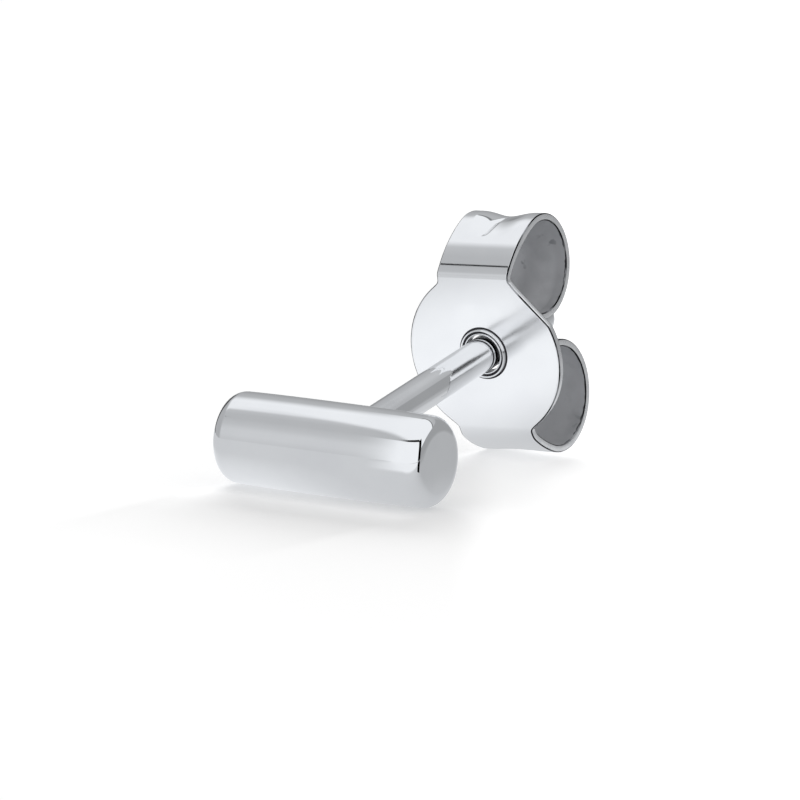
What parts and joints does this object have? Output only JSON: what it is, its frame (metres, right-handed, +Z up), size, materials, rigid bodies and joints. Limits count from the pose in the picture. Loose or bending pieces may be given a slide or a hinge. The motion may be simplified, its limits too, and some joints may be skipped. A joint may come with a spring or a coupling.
{
  "type": "bar stud earring with butterfly clutch",
  "caption": "Short round polished bar on a straight ear post, with a rolled sheet butterfly clutch that slides along the post.",
  "frame": {"origin": "on the table under the middle of the earring's box, as it rests on the bar and on the clutch's lower scroll", "axes": "+X along the bar, +Y from the bar towards the clutch, level with the table, +Z up; the post leans up by 12.55 degrees from +Y"},
  "size_m": [0.0054, 0.0106, 0.0057],
  "materials": {
    "polished_silver": "high polish",
    "sheet_silver": "polished sheet with bright cut edges"
  },
  "bodies": {
    "stud": {"bar_stud": "polished_silver"},
    "clutch": {"butterfly_clutch": "sheet_silver"}
  },
  "joints": [
    {"name": "clutch_slide", "type": "slide", "parent": "stud", "child": "clutch", "axis": [0, 0.9761, 0.2173], "range_m": [-0.0052, 0.003]}
  ]
}
